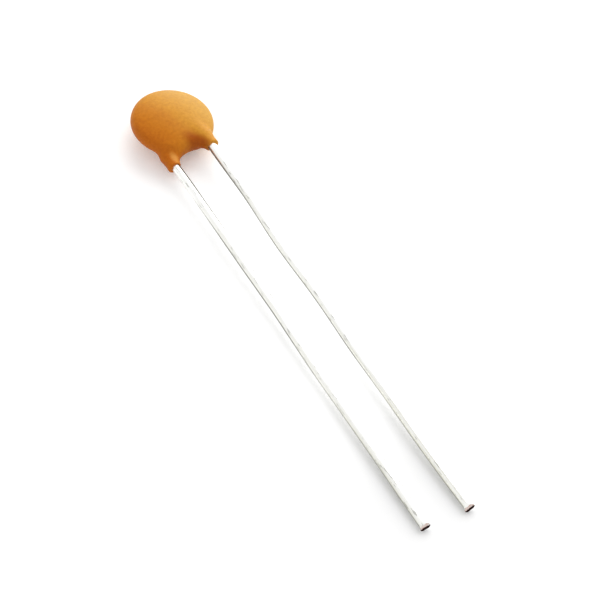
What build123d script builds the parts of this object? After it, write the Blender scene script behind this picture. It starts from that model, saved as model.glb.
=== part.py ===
"""Dipped disc ceramic capacitor with two straight tinned leads, lying as it rests on a table.

Millimetres, +Z up. The leads run towards -Y, the left one at -X and the right one at +X.
The origin is under the middle of the whole part, on the surface that it lies on.
The capacitor is drawn first in its own frame: disc centre at the origin, disc flat in XY, leads
towards -Y, right lead on the front (+Z) face and left lead on the back (-Z) face. lies() then
carries it to where it rests.
"""
from build123d import *

import os
from math import asin, atan2, cos, degrees, hypot, radians, sin, sqrt, tan

# Ceramic disc and its fired silver
disc_diameter = 2.95
disc_thickness = 0.35
disc_edge_break = 0.04
silver_diameter = 2.45
silver_thickness = 0.02

# Leads
pitch = 2.54
leads_shift = -0.07   # of the pair, from the middle of the disc
wire_diameter = 0.53
free_length = 29.00
right_longer = 0.08   # of the right lead than the left one
left_tip_splay = 0.14
right_tip_splay = 0.061
inner_end_x = 0.54
inner_end_y = 0.82
landing_x = 0.78
exit_drop = 0.11
kink_radius = 0.60
left_bow = 0.10
right_bow = -0.06
bow_from = 0.33   # share of the way from the body to the tip
bow_to = 0.70
bow_radius = 200.0
left_cut_turn = 13.0   # from level, rising to the right
right_cut_turn = 24.0
cut_bevel = 22.0

# Solder on each face
solder_film = 0.03
solder_width = 0.96
solder_height = 0.38
solder_slope = 25.0
solder_beyond = 0.26
solder_to_silver_edge = 0.05

# Resin coating
rim_coat = 1.0
face_coat = 0.34
edge_radius = 0.62
leg_length = 0.53
arch_height = 1.09

# Legs of resin: the wall over the wire at the end, neck, shoulder and root, the way up to each,
# and how far each lies inwards and towards the middle of the body
leg_wall = 0.055
neck_way = 0.46
neck_wall = 0.085
shoulder_way = 0.88
shoulder_wall = 0.15
root_way = 1.34
root_wall = 0.23
root_inset = 0.10
root_sink = 0.05
leg_top_way = 1.95
leg_top_inset = 0.40
leg_top_sink = 0.20

# How it lies
nose_down = 1.5
roll = 8.2

wire_radius = wire_diameter / 2
silver_radius = silver_diameter / 2
body_radius = disc_diameter / 2 + rim_coat
silver_face = disc_thickness / 2 + silver_thickness
half_thickness = silver_face + solder_film + wire_diameter + face_coat
face_axis = silver_face + solder_film + wire_radius
exit_axis = face_axis - exit_drop
leg_end_y = -(body_radius + leg_length)

# Each wire bends away from the disc where it has crossed the edge of the silver
landing_y = -sqrt(silver_radius**2 - landing_x**2)

# The domed faces are tangent to the rounded edge at the seam
rim_centre = body_radius - edge_radius
dome_radius = (rim_centre**2 + half_thickness**2 - edge_radius**2) / (2 * (half_thickness - edge_radius))
dome_turn = asin(rim_centre / (dome_radius - edge_radius))
seam_rise = edge_radius * cos(dome_turn)
seam_inset = edge_radius * (1 - sin(dome_turn))

# The web of resin between the legs is an arch in the plane of the leads, through both legs' ends
leads_turn = degrees(atan2(exit_axis, pitch / 2))
half_spread = hypot(exit_axis, pitch / 2)
web_radius = wire_radius + leg_wall / 2
arch_radius = (arch_height**2 + half_spread**2) / (2 * arch_height)
arch_centre_y = leg_end_y + arch_height - arch_radius


def lens():
    """Round body: two shallow domes that run into a rounded edge."""
    seam_x = body_radius - seam_inset
    dome_x = dome_radius * sin(dome_turn / 2)
    dome_z = half_thickness - dome_radius * (1 - cos(dome_turn / 2))
    dome = ThreePointArc((0, half_thickness), (dome_x, dome_z), (seam_x, seam_rise))
    edge = ThreePointArc((seam_x, seam_rise), (body_radius, 0), (seam_x, -seam_rise))
    underside = ThreePointArc((seam_x, -seam_rise), (dome_x, -dome_z), (0, -half_thickness))
    axis_line = Line((0, -half_thickness), (0, half_thickness))
    return revolve(make_face(Plane.XZ * (dome + edge + underside + axis_line)), Axis.Z)


def arch_spool():
    """Cutter that gives the body's front the arch between the legs, with the body's own edge."""
    waist = arch_radius - web_radius
    seam_x = waist + seam_inset
    flange = waist + body_radius / 2
    flange_z = seam_rise + (flange - seam_x) * tan(dome_turn)
    edge = ThreePointArc((seam_x, -seam_rise), (waist, 0), (seam_x, seam_rise))
    rest = Polyline((seam_x, seam_rise), (flange, flange_z), (0, flange_z), (0, -flange_z),
                    (flange, -flange_z), (seam_x, -seam_rise))
    spool = revolve(make_face(Plane.XZ * (edge + rest)), Axis.Z)
    return Pos(leads_shift, arch_centre_y, 0) * spool


def web():
    """Arched rope of resin from leg to leg, up into the body."""
    ring = Rot(Y=-leads_turn) * Torus(arch_radius, web_radius)
    leg_ends = Plane(origin=(0, leg_end_y, 0), z_dir=(0, -1, 0))
    return split(Pos(leads_shift, arch_centre_y, 0) * ring, bisect_by=leg_ends, keep=Keep.BOTTOM)


def leg(side):
    """Tapered leg of resin on a lead, from its end to inside the body: side is 1 for right, -1 for left."""
    stations = (
        (0, leg_wall, 0, 0),
        (neck_way, neck_wall, 0, 0),
        (shoulder_way, shoulder_wall, 0, 0),
        (root_way, root_wall, root_inset, root_sink),
        (leg_top_way, root_wall, leg_top_inset, leg_top_sink),
    )
    sections = []
    for way_up, wall, inset, sink in stations:
        middle = (leads_shift + side * (pitch / 2 - inset), leg_end_y + way_up, side * (exit_axis - sink))
        plane = Plane(origin=middle, x_dir=(1, 0, 0), z_dir=(0, -1, 0))
        sections.append(plane * Circle(wire_radius + wall))
    return loft(sections)


def other_face(shape):
    """The same shape on the back face: a half turn about the Y axis."""
    return Rot(Y=180) * shape


def lies(shape):
    """Carries a shape from the capacitor's own frame to where it lies, dome on the table."""
    dome_tilt = radians(hypot(roll, nose_down))
    height = dome_radius - (dome_radius - half_thickness) * cos(dome_tilt)
    return Pos(0, 0, height) * Rot(X=nose_down) * Rot(Y=roll) * shape


def ceramic_disc():
    """Pressed and fired dielectric, with its edges broken."""
    disc = Cylinder(disc_diameter / 2, disc_thickness)
    return chamfer(disc.edges(), disc_edge_break)


def electrode():
    """Silver on the front face."""
    return Pos(0, 0, disc_thickness / 2) * extrude(Circle(silver_radius), silver_thickness)


def lead_points(side):
    """Middle line of a lead inside the body, where it lies: side is 1 for right, -1 for left."""
    own = (
        (inner_end_x, inner_end_y, face_axis),
        (landing_x, landing_y, face_axis),
        (pitch / 2, wire_radius - body_radius, exit_axis),
    )
    return [lies(Pos(leads_shift + side * x, y, side * z)).position for x, y, z in own]


def lead(side, length, tip_splay, bow, cut_turn):
    """Round wire from the disc's face to its sheared tip, with a slight bow."""
    inner_end, landing, kink = lead_points(side)
    tip = Vector(leads_shift + side * (pitch / 2 + tip_splay), leg_end_y - length, wire_radius)
    near = kink + (tip - kink) * bow_from + Vector(bow, 0, 0)
    far = kink + (tip - kink) * bow_to + Vector(bow, 0, 0)
    route = FilletPolyline(inner_end, landing, kink, near, far, tip,
                           radius=(kink_radius, kink_radius, bow_radius, bow_radius))
    wire = sweep(Plane(origin=route @ 0, z_dir=route % 0) * Circle(wire_radius), path=route)
    return shear(wire, tip, (tip - far).normalized(), cut_turn)


def shear(wire, tip, along, cut_turn):
    """Two shallow bevels that meet in a ridge across the tip, as side cutters leave them."""
    across = Vector(0, 0, 1).rotate(Axis.Y, -cut_turn)
    for turn in (cut_bevel, -cut_bevel):
        normal = along * cos(radians(turn)) + across * sin(radians(turn))
        wire = split(wire, bisect_by=Plane(origin=tip, z_dir=normal), keep=Keep.BOTTOM)
    return wire


def solder_mound(side):
    """Solder on the electrode of a lead, before the wire takes its place in it."""
    contact = hypot(landing_x - inner_end_x, inner_end_y - landing_y)
    slant = degrees(atan2(landing_x - inner_end_x, inner_end_y - landing_y))
    length = contact + solder_beyond - solder_to_silver_edge
    foot = Pos(0, solder_beyond - length / 2) * Ellipse(solder_width / 2, length / 2)
    mound = extrude(foot, solder_height, taper=solder_slope)
    on_front = Pos(inner_end_x + side * leads_shift, inner_end_y, silver_face) * Rot(Z=slant) * mound
    return on_front if side == 1 else other_face(on_front)


def coating(inner):
    """Resin over everything, with the space that the pieces inside fill."""
    outside = lies(lens() - arch_spool() + web() + leg(1) + leg(-1))
    for piece in inner:
        outside = outside - piece
    return outside


def build():
    left_lead = lead(-1, free_length, left_tip_splay, left_bow, left_cut_turn)
    right_lead = lead(1, free_length + right_longer, right_tip_splay, right_bow, right_cut_turn)
    nodes = {
        "ceramic_disc": lies(ceramic_disc()),
        "front_electrode": lies(electrode()),
        "back_electrode": lies(other_face(electrode())),
        "front_solder": lies(solder_mound(1)) - right_lead,
        "back_solder": lies(solder_mound(-1)) - left_lead,
        "left_lead": left_lead,
        "right_lead": right_lead,
    }
    nodes["coating"] = coating(list(nodes.values()))
    return nodes


def main():
    nodes = build()
    box = Compound(children=[Part() + piece for piece in nodes.values()]).bounding_box()
    middle = box.center()
    to_origin = Pos(-middle.X, -middle.Y, -box.min.Z)
    os.makedirs("parts", exist_ok=True)
    for name, piece in nodes.items():
        export_step(to_origin * piece, f"parts/{name}.step")


main()
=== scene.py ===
"""Looks of a dipped disc ceramic capacitor that lies on a white table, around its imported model.

Names that end in _mm hold millimetres, as on the real part. Blender's own units are metres.
The capacitor's own frame has the middle of its ceramic disc at nought, the disc flat in XY, the
leads towards -Y, and the right lead on the upper face. The row's frame is the one it lies in.
A side is 1 for the right lead and its leg, and -1 for the left ones.
"""
from math import atan2, cos, hypot, pi, radians, sin, tan

import bmesh
import bpy
import numpy as np
from mathutils import Matrix, Vector


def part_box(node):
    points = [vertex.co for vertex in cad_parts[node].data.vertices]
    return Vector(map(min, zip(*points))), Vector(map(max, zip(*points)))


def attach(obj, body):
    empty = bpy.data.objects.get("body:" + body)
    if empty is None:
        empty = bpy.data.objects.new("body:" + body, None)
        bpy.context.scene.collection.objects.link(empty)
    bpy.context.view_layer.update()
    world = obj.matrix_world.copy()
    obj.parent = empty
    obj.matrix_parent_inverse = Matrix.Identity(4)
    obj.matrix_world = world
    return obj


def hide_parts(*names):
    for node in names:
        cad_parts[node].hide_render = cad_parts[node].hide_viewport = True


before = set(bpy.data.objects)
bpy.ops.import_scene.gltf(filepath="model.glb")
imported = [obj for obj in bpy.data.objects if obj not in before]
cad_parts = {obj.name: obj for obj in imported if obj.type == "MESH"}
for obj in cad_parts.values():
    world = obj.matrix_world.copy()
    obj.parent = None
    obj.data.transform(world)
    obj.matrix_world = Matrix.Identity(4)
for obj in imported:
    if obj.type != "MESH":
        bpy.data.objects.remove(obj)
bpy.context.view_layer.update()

MM = 0.001

# The capacitor's own sizes, with the resin a hair inside its solid
body_radius_mm = 2.468
half_thickness_mm = 1.09
edge_radius_mm = 0.62
pitch_mm = 2.54
leads_shift_mm = -0.07   # of the pair, from the middle of the disc
wire_radius_mm = 0.265
exit_axis_mm = 0.38   # height of a wire's middle line where it leaves the body
face_axis_mm = 0.49   # and where it lies on the disc's silver
leg_length_mm = 0.53
free_length_mm = {-1: 29.00, 1: 29.08}
tip_splay_mm = {-1: 0.14, 1: 0.061}
inner_end_mm = (0.54, 0.82)   # outwards and along Y
landing_mm = (0.78, -0.945)   # where a wire leaves the silver
nose_down = radians(1.5)
roll = radians(8.2)

# Where the camera stands, and the photograph's frame
camera_elevation = radians(50.75)
camera_azimuth = radians(29.22)
camera_distance_mm = 211.46
camera_target_mm = (0.4717, 0.0810, 0.0)
photo_width_px = 603
focal_length_px = 3722.6
sensor_width_mm = 36.0
clip_start_m = 0.01
clip_end_m = 10

# The table, the lamp, and how bright the room is on the part and to the camera
table_half_m = 0.6
lamp_way = (1.44, 1.05, 1.0)
lamp_distance_m = 0.40
lamp_size_m = 0.60
lamp_watts = 1.75
room_light = 0.77
room_seen = 1.0


def frame_middle(node):
    low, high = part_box(node)
    return (low + high) / 2


disc_centre_mm = frame_middle("ceramic_disc") / MM
own_to_row = (Matrix.Translation(disc_centre_mm)
              @ Matrix.Rotation(nose_down, 4, "X") @ Matrix.Rotation(roll, 4, "Y"))
leg_end_mm = -(body_radius_mm + leg_length_mm)


def new_object(name, mesh, *materials):
    piece = bpy.data.objects.new(name, mesh)
    bpy.context.scene.collection.objects.link(piece)
    for material in materials:
        mesh.materials.append(material)
    mesh.shade_smooth()
    return piece


# The resin's form, as a distance from its surface in the capacitor's own frame, in millimetres

def smooth_join(a, b, blend):
    """The nearer of two distances, with a fillet of about blend where they meet."""
    share = np.clip(0.5 + 0.5 * (b - a) / blend, 0, 1)
    return b + (a - b) * share - blend * share * (1 - share)


def smooth_cut(a, b, blend):
    """a without b, with a rounded edge."""
    return -smooth_join(-a, b, blend)


def to_line(points, start, end):
    """Distance of each point from a straight piece of line."""
    start = np.array(start)
    along = np.array(end) - start
    share = np.clip((points - start) @ along / (along @ along), 0, 1)
    return np.linalg.norm(points - start - share[:, None] * along, axis=1)


def lens_distance(points):
    """Two shallow domes with a rounded edge."""
    rim = body_radius_mm - edge_radius_mm
    depth = half_thickness_mm - edge_radius_mm
    ball = (rim**2 + depth**2) / (2 * depth)
    offset = ball - depth
    across = np.hypot(points[:, 0], points[:, 1])
    rise = np.abs(points[:, 2])
    beside = (across - rim) * offset > rise * rim
    to_rim = np.hypot(rise, across - rim)
    to_dome = np.hypot(rise + offset, across) - ball
    return np.where(beside, to_rim, to_dome) - edge_radius_mm


# Resin over the wire, by the way up from the leg's end
leg_ways_mm = (0.0, 0.25, 0.50, 0.80, 1.20, 1.60)
leg_walls_mm = (0.050, 0.075, 0.105, 0.150, 0.195, 0.205)

# How far a leg's middle line lies off the wire's, along X and Z, and how it leans into the body
leg_lean_mm = {-1: (-0.045, -0.02), 1: (-0.10, 0.0)}
leg_past_end_mm = 0.3
leg_kink_way_mm = 0.9
leg_top_way_mm = 1.95
leg_top_inset_mm = 0.40
leg_top_sink_mm = 0.14


def leg_distance(points, side):
    """Resin that has run down a lead and thinned out."""
    x = leads_shift_mm + side * pitch_mm / 2 + leg_lean_mm[side][0]
    z = side * exit_axis_mm + leg_lean_mm[side][1]
    end = (x, leg_end_mm - leg_past_end_mm, z)
    kink = (x, leg_end_mm + leg_kink_way_mm, z)
    top = (x - side * leg_top_inset_mm, leg_end_mm + leg_top_way_mm, z - side * leg_top_sink_mm)
    way = points[:, 1] - leg_end_mm
    radius = wire_radius_mm + np.interp(way, leg_ways_mm, leg_walls_mm)
    return np.minimum(to_line(points, end, kink), to_line(points, kink, top)) - radius


# The web's middle line is an arch in the plane of the leads, through both legs' ends
arch_height_mm = 1.09
web_radius_mm = 0.29
leads_turn = atan2(exit_axis_mm, pitch_mm / 2)
half_spread_mm = hypot(exit_axis_mm, pitch_mm / 2)
arch_radius_mm = (arch_height_mm**2 + half_spread_mm**2) / (2 * arch_height_mm)
arch_middle_mm = leg_end_mm + arch_height_mm - arch_radius_mm


def arch_distances(points):
    """Distances from the hollow between the legs, and from the web of resin round it."""
    along = (points[:, 0] - leads_shift_mm) * cos(leads_turn) + points[:, 2] * sin(leads_turn)
    off_plane = points[:, 2] * cos(leads_turn) - (points[:, 0] - leads_shift_mm) * sin(leads_turn)
    from_middle = np.hypot(along, points[:, 1] - arch_middle_mm)
    hollow = from_middle - (arch_radius_mm - web_radius_mm)
    web = np.hypot(from_middle - arch_radius_mm, off_plane) - web_radius_mm
    return hollow, web


# How softly the resin runs from one form into the next, and what sets it apart from its solid
hollow_blend_mm = 0.42
web_blend_mm = 0.40
leg_blend_mm = 0.36
leg_end_blend_mm = 0.05
body_inset_mm = 0.005   # keeps the waves of the body inside its solid
right_leg_shorter_mm = 0.16
shorter_from_mm = 0.8   # X from which the right leg is shorter by all of that

# Waves of the resin: their height, and their radians to the mm along X, Y and Z, and where they start
body_wave_mm = 0.005
body_waves = ((2.1, 1.3, 0.0, 0.4), (0.0, 1.7, -1.9, 2.2))
leg_end_wave_mm = 0.018
leg_end_waves = (7.0, 0.0, 9.0, 0.0)

# The space that the resin is looked for in, and the mesh step in it
resin_low_mm = (-2.7, -3.2, -1.3)
resin_high_mm = (2.7, 2.7, 1.3)
resin_step_mm = 0.039
settling_rounds = 5


def wave(points, along_x, along_y, along_z, start):
    """A wave between -1 and 1 over the points."""
    return np.sin(along_x * points[:, 0] + along_y * points[:, 1] + along_z * points[:, 2] + start)


def resin_distance(points):
    """The whole coat: lens, hollow, web and legs, with ragged ends of the legs."""
    waves = body_wave_mm * (wave(points, *body_waves[0]) * wave(points, *body_waves[1]))
    hollow, web = arch_distances(points)
    form = smooth_cut(lens_distance(points) + body_inset_mm + waves, hollow, hollow_blend_mm)
    form = smooth_join(form, web, web_blend_mm)
    for side in (-1, 1):
        form = smooth_join(form, leg_distance(points, side), leg_blend_mm)
    ragged = leg_end_mm + leg_end_wave_mm * wave(points, *leg_end_waves)
    ragged += right_leg_shorter_mm * np.clip(points[:, 0] / shorter_from_mm, 0, 1)
    return smooth_cut(form, points[:, 1] - ragged, leg_end_blend_mm)


def net_round(distance, low, high, step):
    """Quads on the surface where distance is nought, one corner for each cell that it crosses."""
    axes = [np.arange(a, b, step) for a, b in zip(low, high)]
    grid = np.stack(np.meshgrid(*axes, indexing="ij"), -1)
    inside = distance(grid.reshape(-1, 3)).reshape(grid.shape[:3]) < 0
    cells = np.zeros([n - 1 for n in inside.shape], int)
    for i in (0, 1):
        for j in (0, 1):
            for k in (0, 1):
                cells += inside[i:i + cells.shape[0], j:j + cells.shape[1], k:k + cells.shape[2]]
    crossed = (cells > 0) & (cells < 8)
    number = np.full(cells.shape, -1)
    number[crossed] = np.arange(crossed.sum())
    corners = np.argwhere(crossed) * step + np.array(low) + step / 2
    faces = []
    for axis in range(3):
        before = np.take(inside, range(inside.shape[axis] - 1), axis)
        after = np.take(inside, range(1, inside.shape[axis]), axis)
        u, v = [a for a in range(3) if a != axis]
        for leaving in (True, False):
            edges = np.argwhere((before == leaving) & (after != leaving))
            ring = []
            for du, dv in ((0, 0), (-1, 0), (-1, -1), (0, -1)):
                cell = edges.copy()
                cell[:, u] += du
                cell[:, v] += dv
                ring.append(number[tuple(cell.T)])
            quads = np.stack(ring, 1)
            turned = leaving != (axis == 1)
            faces.append(quads[:, ::-1] if turned else quads)
    return settle(corners, distance, step), np.concatenate(faces)


def settle(corners, distance, step):
    """Moves the corners onto the surface along its slope."""
    reach = step / 20
    least_slope_square = 0.1
    for _ in range(settling_rounds):
        here = distance(corners)
        slope = np.stack([distance(corners + reach * axis) - here for axis in np.eye(3)], 1) / reach
        slope /= np.maximum((slope**2).sum(1, keepdims=True), least_slope_square)
        corners = corners - np.clip(here[:, None] * slope, -step, step)
    return corners


def closed_mesh(name, corners_mm, faces, to_row):
    """A mesh in metres, in the row's frame, with its faces outwards."""
    mesh = bpy.data.meshes.new(name)
    mesh.from_pydata(corners_mm.tolist(), [], faces)
    mesh.transform(Matrix.Scale(MM, 4) @ to_row)
    form = bmesh.new()
    form.from_mesh(mesh)
    bmesh.ops.recalc_face_normals(form, faces=form.faces)
    form.to_mesh(mesh)
    form.free()
    return mesh


def resin_mesh():
    corners, faces = net_round(resin_distance, resin_low_mm, resin_high_mm, resin_step_mm)
    return closed_mesh("coating_resin", corners, faces.tolist(), own_to_row)


# The leads' form, in the row's frame
bend_radius_mm = 0.60
bend_steps = 8
station_gap_mm = 0.07
corners_round = 40
skin_wear_mm = 0.0016
wear_turns = (1.9, 0.7)   # radians to the mm along the wire

# The pinched and sheared ends: a smear slopes back over the upper part of the cut
tip_short_mm = 0.05
smear_bevel = radians(22)
smear_reach_mm = 1.0   # way back from the tip in which that slope dies out
cut_turn = {-1: radians(13), 1: radians(24)}
cut_rings = 5
flare_share = 0.22
flare_squareness = 0.05
flare_reach_mm = 0.25
# Below this height across the cut, its face is painted near black as shade
painted_shade_top_mm = 0.03
cut_face_reach_mm = 0.4   # faces of the cut lie nearer than this to its middle

# How far a lead strays to its right on the way from the body to its tip: share of the way, mm
stray_mm = {
    -1: ((-0.04, 0.0), (0.0, 0.02), (0.07, 0.075), (0.14, 0.075), (0.32, 0.075), (0.43, 0.09), (0.59, 0.005),
         (0.72, 0.02), (0.83, 0.02), (0.94, -0.01), (1.0, -0.01)),
    1: ((-0.04, 0.0), (0.0, -0.08), (0.06, -0.09), (0.16, -0.055), (0.30, -0.185), (0.45, -0.095),
        (0.59, -0.155), (0.72, -0.11), (0.83, -0.115), (0.94, -0.06), (1.0, 0.0)),
}


def smooth_through(points, places):
    """A smooth line through a few points, read at some places."""
    x, y = np.array(points).T
    slope = np.gradient(y, x)
    part = np.clip(np.searchsorted(x, places) - 1, 0, len(x) - 2)
    width = x[part + 1] - x[part]
    share = np.clip((places - x[part]) / width, 0, 1)
    rest = 1 - share
    ends = y[part] * rest**2 * (1 + 2 * share) + y[part + 1] * share**2 * (1 + 2 * rest)
    return ends + width * share * rest * (slope[part] * rest - slope[part + 1] * share)


def rounded(route, radius):
    """Points along straight runs whose corners are rounded."""
    line = [route[0]]
    for before, corner, after in zip(route, route[1:], route[2:]):
        into = (corner - before).normalized()
        out = (after - corner).normalized()
        trim = radius * tan(into.angle(out) / 2)
        start = corner - into * trim
        for i in range(bend_steps + 1):
            share = i / bend_steps
            line.append(start.lerp(corner, share).lerp(corner.lerp(corner + out * trim, share), share))
    line.append(route[-1])
    return line


def lead_line(side):
    """Middle line of a lead from the disc to its tip, as points, with its kink and its tip."""
    def on_face(place_mm):
        out, y = place_mm
        return own_to_row @ Vector((leads_shift_mm + side * out, y, side * face_axis_mm))

    x = leads_shift_mm + side * pitch_mm / 2
    kink = own_to_row @ Vector((x, wire_radius_mm - body_radius_mm, side * exit_axis_mm))
    tip = Vector((x + side * tip_splay_mm[side],
                  disc_centre_mm.y + leg_end_mm - free_length_mm[side] + tip_short_mm,
                  wire_radius_mm))
    line = rounded([on_face(inner_end_mm), on_face(landing_mm), kink, tip], bend_radius_mm)
    return np.array(line), np.array(kink), np.array(tip)


def lead_stations(side):
    """Even stations along a lead: the way to each, and the wire's middle there."""
    line, kink, tip = lead_line(side)
    runs = np.linalg.norm(np.diff(line, axis=0), axis=1)
    ways = np.concatenate([[0], np.cumsum(runs)])
    places = np.linspace(0, ways[-1], int(ways[-1] / station_gap_mm) + 1)
    middles = np.stack([np.interp(places, ways, line[:, k]) for k in range(3)], 1)
    stray = stray_mm[side]
    shares = np.clip((kink[1] - middles[:, 1]) / (kink[1] - tip[1]), stray[0][0], stray[-1][0])
    middles[:, 0] += smooth_through(stray, shares)
    return places, middles


def lead_mesh(side):
    """Rings along a lead, closed by flat rings at both ends, with the tip pinched and sheared."""
    places, middles = lead_stations(side)
    along = np.gradient(middles, axis=0)
    along /= np.linalg.norm(along, axis=1, keepdims=True)
    right = np.cross((0, 0, 1), along)
    right /= np.linalg.norm(right, axis=1, keepdims=True)
    up = np.cross(along, right)
    turns = np.arange(corners_round) * 2 * pi / corners_round
    to_tip = places[-1] - places
    swell = np.clip(1 - to_tip / flare_reach_mm, 0, 1)**2

    def ring(i, size):
        """Corners of one ring, from size 1 at the skin to 0 in the middle."""
        off = turns - cut_turn[side]
        fast, slow = places[i] * wear_turns[0], places[i] * wear_turns[1]
        wear = skin_wear_mm * (1 + np.sin(fast + 2 * turns) * np.sin(slow + side))
        pinch = flare_share * np.cos(2 * off) - flare_squareness * np.cos(4 * off)
        radius = (wire_radius_mm - wear) * (1 + swell[i] * pinch)
        radius = radius * size
        high = np.maximum(0, radius * np.sin(off))
        shift = high * tan(smear_bevel) * max(0, 1 - to_tip[i] / smear_reach_mm)
        return (middles[i] + radius[:, None] * (np.cos(turns)[:, None] * right[i]
                                                + np.sin(turns)[:, None] * up[i])
                - shift[:, None] * along[i])

    rings = [ring(i, 1.0) for i in range(len(places))]
    first = [ring(0, size) for size in np.linspace(0, 1, cut_rings + 1)[1:-1]]
    last = [ring(-1, size) for size in np.linspace(1, 0, cut_rings + 1)[1:-1]]
    corners = np.concatenate(first + rings + last + [middles[:1], middles[-1:]])
    count = len(first) + len(rings) + len(last)
    faces = []
    for i in range(count - 1):
        for j in range(corners_round):
            k = (j + 1) % corners_round
            faces.append((i * corners_round + j, i * corners_round + k,
                          (i + 1) * corners_round + k, (i + 1) * corners_round + j))
    start, end = count * corners_round, count * corners_round + 1
    for j in range(corners_round):
        k = (j + 1) % corners_round
        faces.append((start, k, j))
        faces.append(((count - 1) * corners_round + j, (count - 1) * corners_round + k, end))
    mesh = closed_mesh("lead", corners, faces, Matrix.Identity(4))
    paint_cut(mesh, (len(first) + len(rings) - 1) * corners_round, Vector(middles[-1]), cut_turn[side])
    return mesh


def paint_cut(mesh, first_face, middle_mm, turn):
    """Gives the faces of the cut their slots: 1 for the lower face, painted near black as shade, 2 for the
    smear above it.
    """
    for face in mesh.polygons:
        off_middle = (face.center - middle_mm * MM) / MM
        if face.index >= first_face and off_middle.length < cut_face_reach_mm:
            high = off_middle.z * cos(turn) - off_middle.x * sin(turn)
            face.material_index = 1 if high < painted_shade_top_mm else 2


# Shader nodes and groups

def add_node(tree, kind, inputs=None, **settings):
    """A node with its settings, and its inputs set to values or linked to sockets."""
    node = tree.nodes.new(kind)
    for name, value in settings.items():
        setattr(node, name, value)
    for key, value in (inputs or {}).items():
        if isinstance(value, bpy.types.NodeSocket):
            tree.links.new(value, node.inputs[key])
        else:
            node.inputs[key].default_value = value
    return node


def calculate(tree, operation, *inputs, **settings):
    """The result of one Math node."""
    node = add_node(tree, "ShaderNodeMath", dict(enumerate(inputs)), operation=operation, **settings)
    return node.outputs[0]


def ranged(tree, mask, low, high):
    """A mask from 0 to 1, stretched to run from low to high."""
    stretch = add_node(tree, "ShaderNodeMapRange", {"Value": mask, "To Min": low, "To Max": high})
    return stretch.outputs["Result"]


def object_place(tree):
    """The place on the object, in metres."""
    return add_node(tree, "ShaderNodeTexCoord").outputs["Object"]


def noise_at(tree, place, size, **settings):
    """Noise from 0 to 1, with its size in spots to the metre."""
    return add_node(tree, "ShaderNodeTexNoise", {"Vector": place, "Scale": size, **settings}).outputs["Fac"]


def new_group(name, inputs, output, output_type):
    """A node group with number and vector inputs, and one output."""
    group = bpy.data.node_groups.new(name, "ShaderNodeTree")
    for label, value in inputs.items():
        kind = "NodeSocketVector" if isinstance(value, tuple) else "NodeSocketFloat"
        group.interface.new_socket(label, in_out="INPUT", socket_type=kind).default_value = value
    group.interface.new_socket(output, in_out="OUTPUT", socket_type=output_type)
    return group, add_node(group, "NodeGroupInput").outputs, add_node(group, "NodeGroupOutput")


def mottle_group():
    """Soft uneven spots: a mask from 0 to 1. Size is spots to the metre."""
    group, given, result = new_group("fine_mottle", {"Size": 1000.0, "Contrast": 2.0},
                                     "Mask", "NodeSocketFloat")
    noise = noise_at(group, object_place(group), given["Size"], Detail=4.0, Roughness=0.6)
    centred = calculate(group, "SUBTRACT", noise, 0.5)
    spread = calculate(group, "MULTIPLY_ADD", centred, given["Contrast"], 0.5, use_clamp=True)
    group.links.new(spread, result.inputs["Mask"])
    return group


def relief_group():
    """Small unevenness of a surface, as a normal. Size is bumps to the metre, Depth is in metres."""
    group, given, result = new_group("surface_relief", {"Size": 1000.0, "Depth": 0.00001},
                                     "Normal", "NodeSocketVector")
    noise = noise_at(group, object_place(group), given["Size"], Detail=3.0)
    bump = add_node(group, "ShaderNodeBump", {"Height": noise, "Distance": given["Depth"]})
    group.links.new(bump.outputs["Normal"], result.inputs["Normal"])
    return group


def line_group():
    """A line along a wire, on the side of it that Towards points to, from one Y to another."""
    group, given, result = new_group(
        "line_along_wire",
        {"Towards": (0.0, 0.0, 1.0), "Edge": 0.9, "Softness": 0.05, "From": 0.0, "To": 0.01, "Fade": 0.004},
        "Mask", "NodeSocketFloat")
    place = add_node(group, "ShaderNodeTexCoord")
    facing = add_node(group, "ShaderNodeVectorMath",
                      {0: place.outputs["Normal"], 1: given["Towards"]}, operation="DOT_PRODUCT")
    past = calculate(group, "SUBTRACT", facing.outputs["Value"], given["Edge"])
    band = calculate(group, "DIVIDE", past, given["Softness"], use_clamp=True)
    y = add_node(group, "ShaderNodeSeparateXYZ", {0: place.outputs["Object"]}).outputs["Y"]
    after = calculate(group, "SUBTRACT", y, given["From"])
    rise = calculate(group, "DIVIDE", after, given["Fade"], use_clamp=True)
    before = calculate(group, "SUBTRACT", given["To"], y)
    fall = calculate(group, "DIVIDE", before, given["Fade"], use_clamp=True)
    stretch = calculate(group, "MULTIPLY", rise, fall)
    group.links.new(calculate(group, "MULTIPLY", band, stretch), result.inputs["Mask"])
    return group


def streak_group():
    """Thin broken streaks along Y, as drawing leaves them: a mask. Size is streaks to the metre."""
    group, given, result = new_group("drawn_streaks", {"Size": 9000.0, "From": 0.62, "To": 0.66},
                                     "Mask", "NodeSocketFloat")
    drawn = add_node(group, "ShaderNodeMapping", {"Vector": object_place(group), "Scale": (1.0, 0.12, 1.0)})
    noise = noise_at(group, drawn.outputs[0], given["Size"], Detail=2.0)
    mask = add_node(group, "ShaderNodeMapRange",
                    {"Value": noise, "From Min": given["From"], "From Max": given["To"]})
    group.links.new(mask.outputs["Result"], result.inputs["Mask"])
    return group


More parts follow.
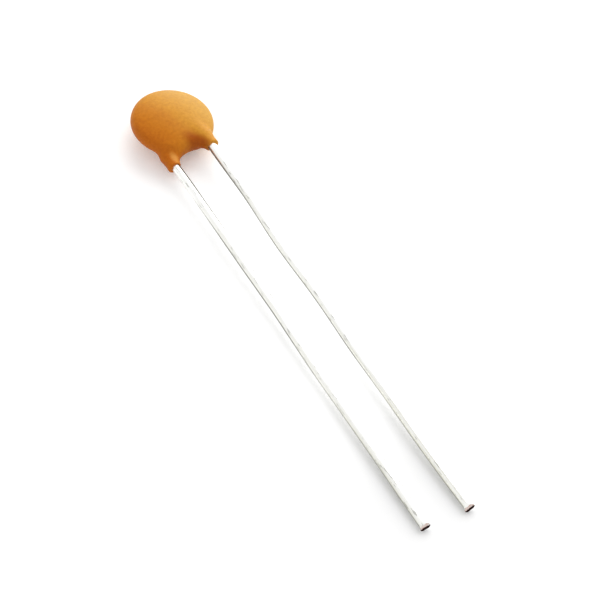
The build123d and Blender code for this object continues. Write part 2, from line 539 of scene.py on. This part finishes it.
def patch_group():
    """An oval patch that fades out, seen from above. Middle and Half Size are in metres."""
    group, given, result = new_group(
        "oval_patch", {"Middle": (0.0, 0.0, 0.0), "Turn": (0.0, 0.0, 0.0), "Half Size": (0.01, 0.01, 1.0)},
        "Mask", "NodeSocketFloat")
    patch = add_node(group, "ShaderNodeMapping",
                     {"Vector": object_place(group), "Location": given["Middle"], "Rotation": given["Turn"],
                      "Scale": given["Half Size"]}, vector_type="TEXTURE")
    off = add_node(group, "ShaderNodeVectorMath", {0: patch.outputs[0]}, operation="LENGTH")
    mask = add_node(group, "ShaderNodeMapRange",
                    {"Value": off.outputs["Value"], "From Min": 0.25, "From Max": 1.0,
                     "To Min": 1.0, "To Max": 0.0}, interpolation_type="SMOOTHSTEP")
    group.links.new(mask.outputs["Result"], result.inputs["Mask"])
    return group


fine_mottle = mottle_group()
surface_relief = relief_group()
line_along_wire = line_group()
drawn_streaks = streak_group()
oval_patch = patch_group()


def use_group(tree, group, **inputs):
    """Places a group with its own values, and gives its output."""
    node = add_node(tree, "ShaderNodeGroup", node_tree=group)
    for key, value in inputs.items():
        node.inputs[key.replace("_", " ")].default_value = value
    return node.outputs[0]


def patch_on(tree, middle_mm, turn, half_length_mm, half_width_mm):
    """The mask of one oval patch on an object."""
    return use_group(tree, oval_patch, Middle=Vector(middle_mm) * MM, Turn=(0, 0, turn),
                     Half_Size=(half_length_mm * MM, half_width_mm * MM, 1))


# A Mix node's colour sockets, by number because its other sockets have the same names
mix_colour_a = 6
mix_colour_b = 7
mix_colour_result = 2


def mix_colours(tree, mask, a, b, **settings):
    """Colour a where the mask is 0 and colour b where it is 1."""
    mix = add_node(tree, "ShaderNodeMix", {"Factor": mask}, data_type="RGBA", **settings)
    for socket, colour in ((mix.inputs[mix_colour_a], a), (mix.inputs[mix_colour_b], b)):
        if isinstance(colour, bpy.types.NodeSocket):
            tree.links.new(colour, socket)
        else:
            socket.default_value = (*colour, 1)
    return mix.outputs[mix_colour_result]


def seen_directly(tree):
    """1 for what the camera and shiny surfaces see, 0 for the light on the part."""
    path = add_node(tree, "ShaderNodeLightPath").outputs
    return calculate(tree, "MAXIMUM", path["Is Camera Ray"], path["Is Glossy Ray"])


def new_material(name, **settings):
    """A Principled material with plain settings on its own sockets."""
    material = bpy.data.materials.new(name)
    material.use_nodes = True
    shader = material.node_tree.nodes["Principled BSDF"]
    for key, value in settings.items():
        shader.inputs[key.replace("_", " ")].default_value = value
    return material.node_tree, shader, material


# Tones of the resin across the body, by the way in mm from its middle towards right and back: painted light,
# darker away from the lamp and paler and yellower towards it, with a painted sheen
resin_painted_light_tones = (
    (-2.5, (0.55, 0.145, 0.006)),
    (-1.5, (0.61, 0.20, 0.011)),
    (-0.7, (0.61, 0.225, 0.018)),
    (0.1, (0.65, 0.29, 0.028)),
    (1.9, (0.66, 0.36, 0.065)),
)
painted_light_way = Vector((1.0, 0.45, 0.0))
tone_unevenness_mm = 0.15

# Painted shade in the hollow between the legs, and a painted highlight on the left leg: from the body's
# middle in mm, turn, half length, half width, tone
painted_shade_and_highlight_patches = (
    ((0.45, -2.32, 0), radians(-52), 1.15, 0.62, (0.40, 0.090, 0.004)),
    ((-0.05, -2.50, 0), radians(4), 1.05, 0.34, (0.42, 0.100, 0.006)),
    ((-1.20, -2.62, 0), radians(-80), 0.55, 0.30, (0.72, 0.30, 0.050)),
)
grain_dark = (0.86, 0.80, 0.72)
grain_light = (1.0, 1.0, 1.0)
resin_roughness = (0.40, 0.50)


def resin_tone_with_painted_light(tree, mottle):
    """Paler and yellower towards the right and back, towards the lamp: painted light with a painted sheen,
    shifted about by uneven tone.
    """
    place = add_node(tree, "ShaderNodeVectorMath", {0: object_place(tree), 1: disc_centre_mm * MM},
                     operation="SUBTRACT")
    way = add_node(tree, "ShaderNodeVectorMath", {0: place.outputs[0], 1: painted_light_way}, operation="DOT_PRODUCT")
    low, high = resin_painted_light_tones[0][0], resin_painted_light_tones[-1][0]
    uneven = ranged(tree, mottle, -tone_unevenness_mm * MM, tone_unevenness_mm * MM)
    moved = calculate(tree, "ADD", way.outputs["Value"], uneven)
    share = add_node(tree, "ShaderNodeMapRange",
                     {"Value": moved, "From Min": low * MM, "From Max": high * MM})
    ramp = add_node(tree, "ShaderNodeValToRGB", {"Fac": share.outputs["Result"]})
    stops = ramp.color_ramp.elements
    for at, _ in resin_painted_light_tones[1:-1]:
        stops.new((at - low) / (high - low))
    for stop, (_, colour) in zip(stops, resin_painted_light_tones):
        stop.color = (*colour, 1)
    return ramp.outputs["Color"]


def resin_material():
    """Satin orange-brown resin with painted light across it, painted shade between the legs, a painted
    highlight on the left leg, and a fine grain.
    """
    tree, shader, material = new_material("orange_dipped_resin", IOR=1.45, Specular_IOR_Level=0.12)
    broad = use_group(tree, fine_mottle, Size=900.0, Contrast=2.2)
    fine = use_group(tree, fine_mottle, Size=5200.0, Contrast=3.0)
    tone = resin_tone_with_painted_light(tree, broad)
    for middle_mm, turn, half_length_mm, half_width_mm, colour in painted_shade_and_highlight_patches:
        patch = patch_on(tree, disc_centre_mm + Vector(middle_mm), turn, half_length_mm, half_width_mm)
        tone = mix_colours(tree, patch, tone, colour)
    grain = mix_colours(tree, fine, grain_dark, grain_light)
    tone = mix_colours(tree, 1.0, tone, grain, blend_type="MULTIPLY")
    tree.links.new(tone, shader.inputs["Base Color"])
    tree.links.new(ranged(tree, fine, *resin_roughness), shader.inputs["Roughness"])
    tree.links.new(use_group(tree, surface_relief, Size=2600.0, Depth=0.000012), shader.inputs["Normal"])
    return material


# Tones of the tin and its drawn streaks, of painted dark reflections along the wire's edges, and of painted
# shade and thin grey lines
tin_cloudy = (0.93, 0.93, 0.88)
tin_bright = (0.96, 0.96, 0.95)
tin_roughness = (0.24, 0.34)
streak_tone = (0.30, 0.30, 0.26)
streak_strength = 0.6
painted_dark_reflection_tone = (0.11, 0.11, 0.09)
painted_shade_and_top_line_tone = (0.56, 0.55, 0.44)

# Sides that the painted reflections, painted shades and grey lines on a wire face
lower_left = (-0.985, 0.0, -0.174)
upper_right = (0.866, 0.0, 0.500)
left_and_up = (-0.729, 0.0, 0.685)
mostly_up = (-0.371, 0.0, 0.929)
straight_up = (0.03, 0.0, 1.0)

# Each line, a painted dark reflection, a painted shade or a thin grey line: side that it faces, where it
# begins round the wire, softness, from Y and to Y in metres, strength and tone
wire_painted_shading_and_lines = {
    -1: ((lower_left, 0.0, 0.9, -0.0180, 0.0100, 0.30, painted_shade_and_top_line_tone),
         (lower_left, 0.45, 0.5, -0.0200, -0.0060, 0.40, painted_shade_and_top_line_tone),
         (straight_up, 0.985, 0.01, -0.0200, -0.0060, 0.25, painted_shade_and_top_line_tone),
         (lower_left, 0.80, 0.14, -0.0060, 0.0095, 0.95, painted_dark_reflection_tone),
         (lower_left, 0.82, 0.16, -0.0200, -0.0010, 0.50, painted_dark_reflection_tone),
         (upper_right, 0.86, 0.10, -0.0060, 0.0120, 0.30, painted_dark_reflection_tone),
         (upper_right, 0.74, 0.10, 0.0060, 0.0165, 0.95, painted_dark_reflection_tone)),
    1: ((lower_left, 0.0, 0.9, -0.0180, 0.0130, 0.25, painted_shade_and_top_line_tone),
        (lower_left, 0.45, 0.5, -0.0200, -0.0060, 0.50, painted_shade_and_top_line_tone),
        (left_and_up, 0.98, 0.015, -0.0100, -0.0010, 0.35, painted_shade_and_top_line_tone),
        (mostly_up, 0.985, 0.01, -0.0200, -0.0060, 0.35, painted_shade_and_top_line_tone),
        (lower_left, 0.78, 0.12, 0.0060, 0.0150, 0.95, painted_dark_reflection_tone),
        (lower_left, 0.82, 0.14, -0.0090, 0.0120, 0.90, painted_dark_reflection_tone),
        (lower_left, 0.84, 0.14, -0.0200, -0.0060, 0.50, painted_dark_reflection_tone),
        (upper_right, 0.86, 0.10, -0.0100, 0.0080, 0.28, painted_dark_reflection_tone)),
}


def wire_material(name, lines):
    """Bright tin, cloudy in places, with painted dark reflections along its edges, painted shade on its lower
    side, thin grey lines along its top and short drawn streaks.
    """
    tree, shader, material = new_material(name, Metallic=1.0)
    cloud = use_group(tree, fine_mottle, Size=900.0, Contrast=2.0)
    colour = mix_colours(tree, cloud, tin_cloudy, tin_bright)
    for towards, edge, softness, start, end, strength, tone in lines:
        line = use_group(tree, line_along_wire, Towards=towards, Edge=edge, Softness=softness,
                         From=start, To=end)
        colour = mix_colours(tree, ranged(tree, line, 0.0, strength), colour, tone)
    streaks = ranged(tree, use_group(tree, drawn_streaks, Size=11000.0), 0.0, streak_strength)
    colour = mix_colours(tree, streaks, colour, streak_tone)
    tree.links.new(colour, shader.inputs["Base Color"])
    tree.links.new(ranged(tree, cloud, *tin_roughness), shader.inputs["Roughness"])
    tree.links.new(use_group(tree, surface_relief, Size=700.0, Depth=0.00002), shader.inputs["Normal"])
    return material


def cut_material(name, dark, light, roughness, shine):
    """Copper of a sheared end, made near black where it serves as painted shade."""
    tree, shader, material = new_material(name, Roughness=roughness, Specular_IOR_Level=shine)
    torn = use_group(tree, fine_mottle, Size=9000.0, Contrast=4.0)
    tree.links.new(mix_colours(tree, torn, dark, light), shader.inputs["Base Color"])
    tree.links.new(use_group(tree, surface_relief, Size=9000.0, Depth=0.00002), shader.inputs["Normal"])
    return material


def inner_material(name, dark, light, metallic, roughness, relief):
    """Fired silver, solder or ceramic, uneven in tone and surface."""
    tree, shader, material = new_material(name, Metallic=metallic)
    spots = use_group(tree, fine_mottle, Size=4000.0, Contrast=2.5)
    tree.links.new(mix_colours(tree, spots, dark, light), shader.inputs["Base Color"])
    tree.links.new(ranged(tree, spots, *roughness), shader.inputs["Roughness"])
    tree.links.new(use_group(tree, surface_relief, Size=3000.0, Depth=relief), shader.inputs["Normal"])
    return material


# How much the camera sees the table lifted by its glow: hardly at the tips, and a little less round the body,
# so that the cast shadows there show deeper
lift_elsewhere = 0.25
lift_near_tips = 0.03
body_lowers_lift = 0.06

# Those two places on the table: middle in mm, turn, half length and half width
tips_patch = ((0, -18, 0), 0, 30, 13)
body_patch = ((0, 15, 0), 0, 14, 13)
table_white = (0.92, 0.92, 0.92, 1)


def table_material():
    """White paper that shows white, and still takes the shadows."""
    tree, shader, material = new_material("white_table", Base_Color=table_white, Roughness=0.9,
                                          Specular_IOR_Level=0.1)
    near_tips = ranged(tree, patch_on(tree, *tips_patch), lift_elsewhere, lift_near_tips)
    near_body = ranged(tree, patch_on(tree, *body_patch), 0.0, body_lowers_lift)
    level = calculate(tree, "SUBTRACT", near_tips, near_body)
    glow = add_node(tree, "ShaderNodeEmission", {"Color": level, "Strength": seen_directly(tree)})
    both = add_node(tree, "ShaderNodeAddShader", {0: shader.outputs[0], 1: glow.outputs[0]})
    tree.links.new(both.outputs[0], tree.nodes["Material Output"].inputs["Surface"])
    return material


# Pieces

def make_coating():
    piece = new_object("coating_resin", resin_mesh(), resin_material())
    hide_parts("coating")
    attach(piece, "root")


def make_lead(side, name):
    tin = wire_material(name + "_tin", wire_painted_shading_and_lines[side])
    piece = new_object(name + "_wire", lead_mesh(side), tin, painted_shade_cut, smeared_cut)
    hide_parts(name)
    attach(piece, "root")


def paint_inner_pieces():
    """Gives the CAD's own pieces inside their silver, solder and ceramic."""
    silver = inner_material("fired_silver", dark=(0.62, 0.61, 0.58), light=(0.74, 0.73, 0.70),
                            metallic=1.0, roughness=(0.44, 0.56), relief=0.000004)
    solder = inner_material("grey_solder", dark=(0.50, 0.51, 0.52), light=(0.66, 0.67, 0.68),
                            metallic=1.0, roughness=(0.24, 0.36), relief=0.00002)
    ceramic = inner_material("fired_ceramic", dark=(0.42, 0.34, 0.25), light=(0.52, 0.44, 0.34),
                             metallic=0.0, roughness=(0.54, 0.66), relief=0.000004)
    for name, material in (("ceramic_disc", ceramic), ("front_electrode", silver), ("back_electrode", silver),
                           ("front_solder", solder), ("back_solder", solder)):
        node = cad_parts[name]
        node.data.materials.clear()
        node.data.materials.append(material)


def make_table():
    mesh = bpy.data.meshes.new("table")
    half = table_half_m
    corners = [(-half, -half, 0), (half, -half, 0), (half, half, 0), (-half, half, 0)]
    mesh.from_pydata(corners, [], [(0, 1, 2, 3)])
    table = new_object("table", mesh, table_material())


def add_aimed(name, data, target, toward, distance):
    """A camera or lamp that stands off a target, toward a side, and looks at it."""
    piece = bpy.data.objects.new(name, data)
    bpy.context.scene.collection.objects.link(piece)
    piece.location = target + toward * distance
    piece.rotation_mode = "QUATERNION"
    piece.rotation_quaternion = toward.to_track_quat("Z", "Y")
    return piece


def make_camera():
    toward = Vector((-sin(camera_azimuth) * cos(camera_elevation),
                     -cos(camera_azimuth) * cos(camera_elevation),
                     sin(camera_elevation)))
    optics = bpy.data.cameras.new("camera")
    optics.sensor_width = sensor_width_mm
    optics.lens = sensor_width_mm * focal_length_px / photo_width_px
    optics.clip_start = clip_start_m
    optics.clip_end = clip_end_m
    bpy.context.scene.camera = add_aimed("camera", optics, Vector(camera_target_mm) * MM, toward,
                                         camera_distance_mm * MM)


def make_lamp():
    lamp = bpy.data.lights.new("window", "AREA")
    lamp.shape = "DISK"
    lamp.size = lamp_size_m
    lamp.energy = lamp_watts
    add_aimed("window", lamp, Vector(), Vector(lamp_way).normalized(), lamp_distance_m)


def make_room():
    """White room that shines on the part with less light than it shows to the camera and in metal."""
    world = bpy.data.worlds.new("room")
    world.use_nodes = True
    bpy.context.scene.world = world
    tree = world.node_tree
    background = tree.nodes["Background"]
    background.inputs["Color"].default_value = (1, 1, 1, 1)
    tree.links.new(ranged(tree, seen_directly(tree), room_light, room_seen), background.inputs["Strength"])


# The lower face of each cut, painted near black as shade, and the tin smeared over the copper above it
painted_shade_cut = cut_material("shaded_copper_cut", dark=(0.003, 0.001, 0.001), light=(0.030, 0.004, 0.003),
                          roughness=0.8, shine=0.05)
smeared_cut = cut_material("smeared_copper_cut", dark=(0.62, 0.38, 0.31), light=(0.90, 0.86, 0.82),
                           roughness=0.4, shine=0.5)
make_coating()
make_lead(-1, "left_lead")
make_lead(1, "right_lead")
paint_inner_pieces()
make_table()
make_camera()
make_lamp()
make_room()
bpy.context.scene.view_settings.view_transform = "Standard"
